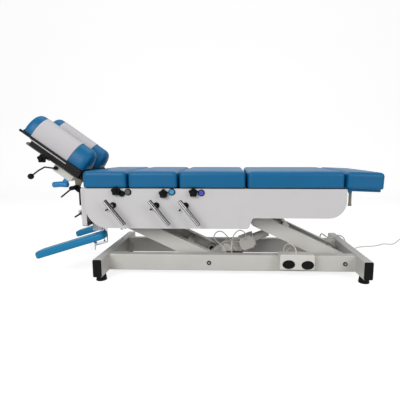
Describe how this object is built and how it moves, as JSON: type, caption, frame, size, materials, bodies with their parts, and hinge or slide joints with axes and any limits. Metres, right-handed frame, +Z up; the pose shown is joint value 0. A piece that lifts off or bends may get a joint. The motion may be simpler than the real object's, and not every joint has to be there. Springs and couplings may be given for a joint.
{
  "type": "chiropractic table",
  "caption": "Powered treatment table: parallelogram lift, cushions in sections that lift and drop, tilting head piece with split face cushions, armrests and a foot switch.",
  "frame": {"origin": "on the floor under the middle of the table's own bounding box, in the plane midway between the two rails", "axes": "+X along the table to the foot end, +Y to the far side, away from the hand controls, +Z up"},
  "size_m": [2.851, 1.2063, 0.9294],
  "materials": {
    "grey_enamel": "semi-gloss enamel",
    "white_enamel": "semi-gloss enamel",
    "bright_chrome": "polished",
    "blue_vinyl": "smooth coated cloth",
    "black_plastic": "moulded",
    "black_rubber": "moulded",
    "grey_plastic": "moulded",
    "cyan_plastic": "moulded",
    "violet_plastic": "moulded",
    "blue_grip": "soft moulded",
    "white_plastic": "moulded",
    "board": "painted plywood",
    "paper": "crepe paper",
    "olive_enamel": "semi-gloss enamel",
    "cord_sheath": "smooth sheath",
    "zinc": "zinc plated"
  },
  "bodies": {
    "floor_frame": {"head_crossbeam": "grey_enamel", "foot_crossbeam": "grey_enamel", "near_rail": "grey_enamel", "far_rail": "grey_enamel", "feet_and_caps": "black_rubber", "arm_pivot_pins": "zinc", "actuator_mount": "grey_enamel", "foot_switch_housing": "white_plastic", "control_box": "black_plastic", "foot_switch_cable": "cord_sheath", "actuator_cables": "cord_sheath", "mains_lead": "cord_sheath", "mains_coil": "cord_sheath", "mains_plug": "black_plastic"},
    "foot_lift_arm": {"foot_arm": "grey_enamel"},
    "head_lift_arm": {"head_arm": "grey_enamel"},
    "actuator_body": {"actuator_housing": "white_plastic"},
    "actuator_ram": {"actuator_rod": "zinc"},
    "upper_frame": {"near_top_rail": "grey_enamel", "far_top_rail": "grey_enamel", "frame_cross_tubes": "grey_enamel", "near_side_panel": "white_enamel", "far_side_panel": "white_enamel", "panel_bushes": "black_plastic", "head_end_plate": "white_enamel", "chrome_posts": "bright_chrome", "leg_plate": "board", "leg_cushion": "blue_vinyl"},
    "up_treadle": {"up_pedal": "black_rubber"},
    "down_treadle": {"down_pedal": "black_rubber"},
    "chest_section": {"chest_drop_plate": "board", "chest_cushion": "blue_vinyl"},
    "lumbar_section": {"lumbar_drop_plate": "board", "lumbar_cushion": "blue_vinyl"},
    "pelvic_section": {"pelvic_drop_plate": "board", "pelvic_cushion": "blue_vinyl"},
    "chest_cocking_lever": {"chest_lever": "bright_chrome"},
    "lumbar_cocking_lever": {"lumbar_lever": "bright_chrome"},
    "pelvic_cocking_lever": {"pelvic_lever": "bright_chrome"},
    "chest_tension_knob": {"chest_knob": "black_plastic"},
    "lumbar_tension_knob": {"lumbar_knob": "black_plastic"},
    "pelvic_tension_knob": {"pelvic_knob": "black_plastic"},
    "chest_push": {"chest_button": "grey_plastic"},
    "lumbar_push": {"lumbar_button": "cyan_plastic"},
    "pelvic_push": {"pelvic_button": "violet_plastic"},
    "foot_section": {"foot_plate": "board", "foot_cushion": "blue_vinyl"},
    "foot_release": {"foot_release_bar": "olive_enamel"},
    "near_armrest": {"near_arm_pad": "blue_vinyl"},
    "far_armrest": {"far_arm_pad": "blue_vinyl"},
    "head_lift": {"post_sleeves": "black_plastic"},
    "head_tilt": {"head_plate": "olive_enamel", "hand_grip": "blue_grip"},
    "head_slide": {"head_board": "board", "head_cushions": "blue_vinyl", "head_paper": "paper"},
    "head_lock_knob": {"head_star_knob": "black_plastic"},
    "head_release_lever": {"ball_lever": "black_plastic"},
    "tilt_clamp": {"tilt_clamp_lever": "bright_chrome"},
    "post_clamp": {"post_clamp_lever": "bright_chrome"}
  },
  "joints": [
    {"name": "lift", "type": "hinge", "parent": "floor_frame", "child": "foot_lift_arm", "pos_m": [0.839, 0, 0.0805], "axis": [0, 1, 0], "range_deg": [-6, 18]},
    {"name": "head_arm_pivot", "type": "hinge", "parent": "floor_frame", "child": "head_lift_arm", "pos_m": [0.0637, 0, 0.0805], "axis": [0, 1, 0], "range_deg": [-6, 18]},
    {"name": "upper_frame_pivot", "type": "hinge", "parent": "foot_lift_arm", "child": "upper_frame", "pos_m": [0.34217, 0, 0.31641], "axis": [0, 1, 0], "range_deg": [-18, 6]},
    {"name": "actuator_rear_pivot", "type": "hinge", "parent": "floor_frame", "child": "actuator_body", "pos_m": [0.06, 0, 0.0743], "axis": [0, -1, 0], "range_deg": [-2.62, 7.66]},
    {"name": "actuator_stroke", "type": "slide", "parent": "actuator_body", "child": "actuator_ram", "axis": [0.9322, 0, 0.362], "range_m": [-0.0318, 0.0951]},
    {"name": "up_treadle_press", "type": "slide", "parent": "floor_frame", "child": "up_treadle", "axis": [0, 1, 0], "range_m": [0, 0.004], "stiffness_N_per_m": 3000, "springref_m": -0.002},
    {"name": "down_treadle_press", "type": "slide", "parent": "floor_frame", "child": "down_treadle", "axis": [0, 1, 0], "range_m": [0, 0.004], "stiffness_N_per_m": 3000, "springref_m": -0.002},
    {"name": "chest_lever_turn", "type": "hinge", "parent": "upper_frame", "child": "chest_cocking_lever", "pos_m": [-0.452, 0, 0.425], "axis": [0, -1, 0], "range_deg": [0, 40]},
    {"name": "chest_drop", "type": "hinge", "parent": "upper_frame", "child": "chest_section", "pos_m": [-0.382, 0, 0.494], "axis": [0, 1, 0], "range_deg": [0, 2]},
    {"name": "chest_knob_turn", "type": "hinge", "parent": "upper_frame", "child": "chest_tension_knob", "pos_m": [-0.429, 0, 0.504], "axis": [0, -1, 0], "continuous": true},
    {"name": "chest_button_press", "type": "slide", "parent": "upper_frame", "child": "chest_push", "axis": [0, 1, 0], "range_m": [0, 0.004], "stiffness_N_per_m": 1200, "springref_m": -0.001},
    {"name": "lumbar_lever_turn", "type": "hinge", "parent": "upper_frame", "child": "lumbar_cocking_lever", "pos_m": [-0.2155, 0, 0.425], "axis": [0, -1, 0], "range_deg": [0, 40]},
    {"name": "lumbar_drop", "type": "hinge", "parent": "upper_frame", "child": "lumbar_section", "pos_m": [-0.106, 0, 0.494], "axis": [0, 1, 0], "range_deg": [0, 2]},
    {"name": "lumbar_knob_turn", "type": "hinge", "parent": "upper_frame", "child": "lumbar_tension_knob", "pos_m": [-0.173, 0, 0.491], "axis": [0, -1, 0], "continuous": true},
    {"name": "lumbar_button_press", "type": "slide", "parent": "upper_frame", "child": "lumbar_push", "axis": [0, 1, 0], "range_m": [0, 0.004], "stiffness_N_per_m": 1200, "springref_m": -0.001},
    {"name": "pelvic_lever_turn", "type": "hinge", "parent": "upper_frame", "child": "pelvic_cocking_lever", "pos_m": [-0.0566, 0, 0.425], "axis": [0, -1, 0], "range_deg": [0, 40]},
    {"name": "pelvic_drop", "type": "hinge", "parent": "upper_frame", "child": "pelvic_section", "pos_m": [0.261, 0, 0.494], "axis": [0, 1, 0], "range_deg": [0, 2]},
    {"name": "pelvic_knob_turn", "type": "hinge", "parent": "upper_frame", "child": "pelvic_tension_knob", "pos_m": [-0.0126, 0, 0.4975], "axis": [0, -1, 0], "continuous": true},
    {"name": "pelvic_button_press", "type": "slide", "parent": "upper_frame", "child": "pelvic_push", "axis": [0, 1, 0], "range_m": [0, 0.004], "stiffness_N_per_m": 1200, "springref_m": -0.001},
    {"name": "foot_section_tilt", "type": "hinge", "parent": "upper_frame", "child": "foot_section", "pos_m": [0.803, 0, 0.49], "axis": [0, 1, 0], "range_deg": [0, 36]},
    {"name": "foot_release_pull", "type": "hinge", "parent": "foot_section", "child": "foot_release", "pos_m": [0.833, 0, 0.494], "axis": [0, -1, 0], "range_deg": [0, 12], "stiffness_Nm_per_rad": 1.2, "springref_deg": -1.15},
    {"name": "near_armrest_tilt", "type": "hinge", "parent": "upper_frame", "child": "near_armrest", "pos_m": [-0.588, 0, 0.2], "axis": [0, 1, 0], "range_deg": [-5, 20]},
    {"name": "far_armrest_tilt", "type": "hinge", "parent": "upper_frame", "child": "far_armrest", "pos_m": [-0.588, 0, 0.2], "axis": [0, 1, 0], "range_deg": [-5, 20]},
    {"name": "head_height", "type": "slide", "parent": "upper_frame", "child": "head_lift", "axis": [0, 0, 1], "range_m": [-0.02, 0.05]},
    {"name": "head_tilt_turn", "type": "hinge", "parent": "head_lift", "child": "head_tilt", "pos_m": [-0.707, 0, 0.51], "axis": [0, 1, 0], "range_deg": [-55, 8]},
    {"name": "head_slide_out", "type": "slide", "parent": "head_tilt", "child": "head_slide", "axis": [-0.8141, 0, 0.5807], "range_m": [0, 0.05]},
    {"name": "head_knob_turn", "type": "hinge", "parent": "head_tilt", "child": "head_lock_knob", "pos_m": [-0.8716, 0, 0.67531], "axis": [0, -1, 0], "continuous": true},
    {"name": "head_release_turn", "type": "hinge", "parent": "head_tilt", "child": "head_release_lever", "pos_m": [-0.84483, 0, 0.61814], "axis": [0, 1, 0], "range_deg": [0, 14], "stiffness_Nm_per_rad": 2, "springref_deg": -6.88},
    {"name": "tilt_clamp_turn", "type": "hinge", "parent": "head_lift", "child": "tilt_clamp", "pos_m": [-0.707, 0, 0.51], "axis": [0, -1, 0], "range_deg": [0, 40]},
    {"name": "post_clamp_turn", "type": "hinge", "parent": "upper_frame", "child": "post_clamp", "pos_m": [-0.6656, 0, 0.3647], "axis": [0, -1, 0], "range_deg": [0, 40]}
  ],
  "couplings": [
    {"joint": "head_arm_pivot", "follows": "lift", "ratio": 1},
    {"joint": "upper_frame_pivot", "follows": "lift", "ratio": -1},
    {"joint": "actuator_rear_pivot", "follows": "lift", "ratio": 0.42},
    {"joint": "actuator_stroke", "follows": "lift", "m_per_rad": 0.302},
    {"joint": "chest_drop", "follows": "chest_lever_turn", "ratio": 0.05},
    {"joint": "lumbar_drop", "follows": "lumbar_lever_turn", "ratio": 0.05},
    {"joint": "pelvic_drop", "follows": "pelvic_lever_turn", "ratio": 0.05}
  ]
}
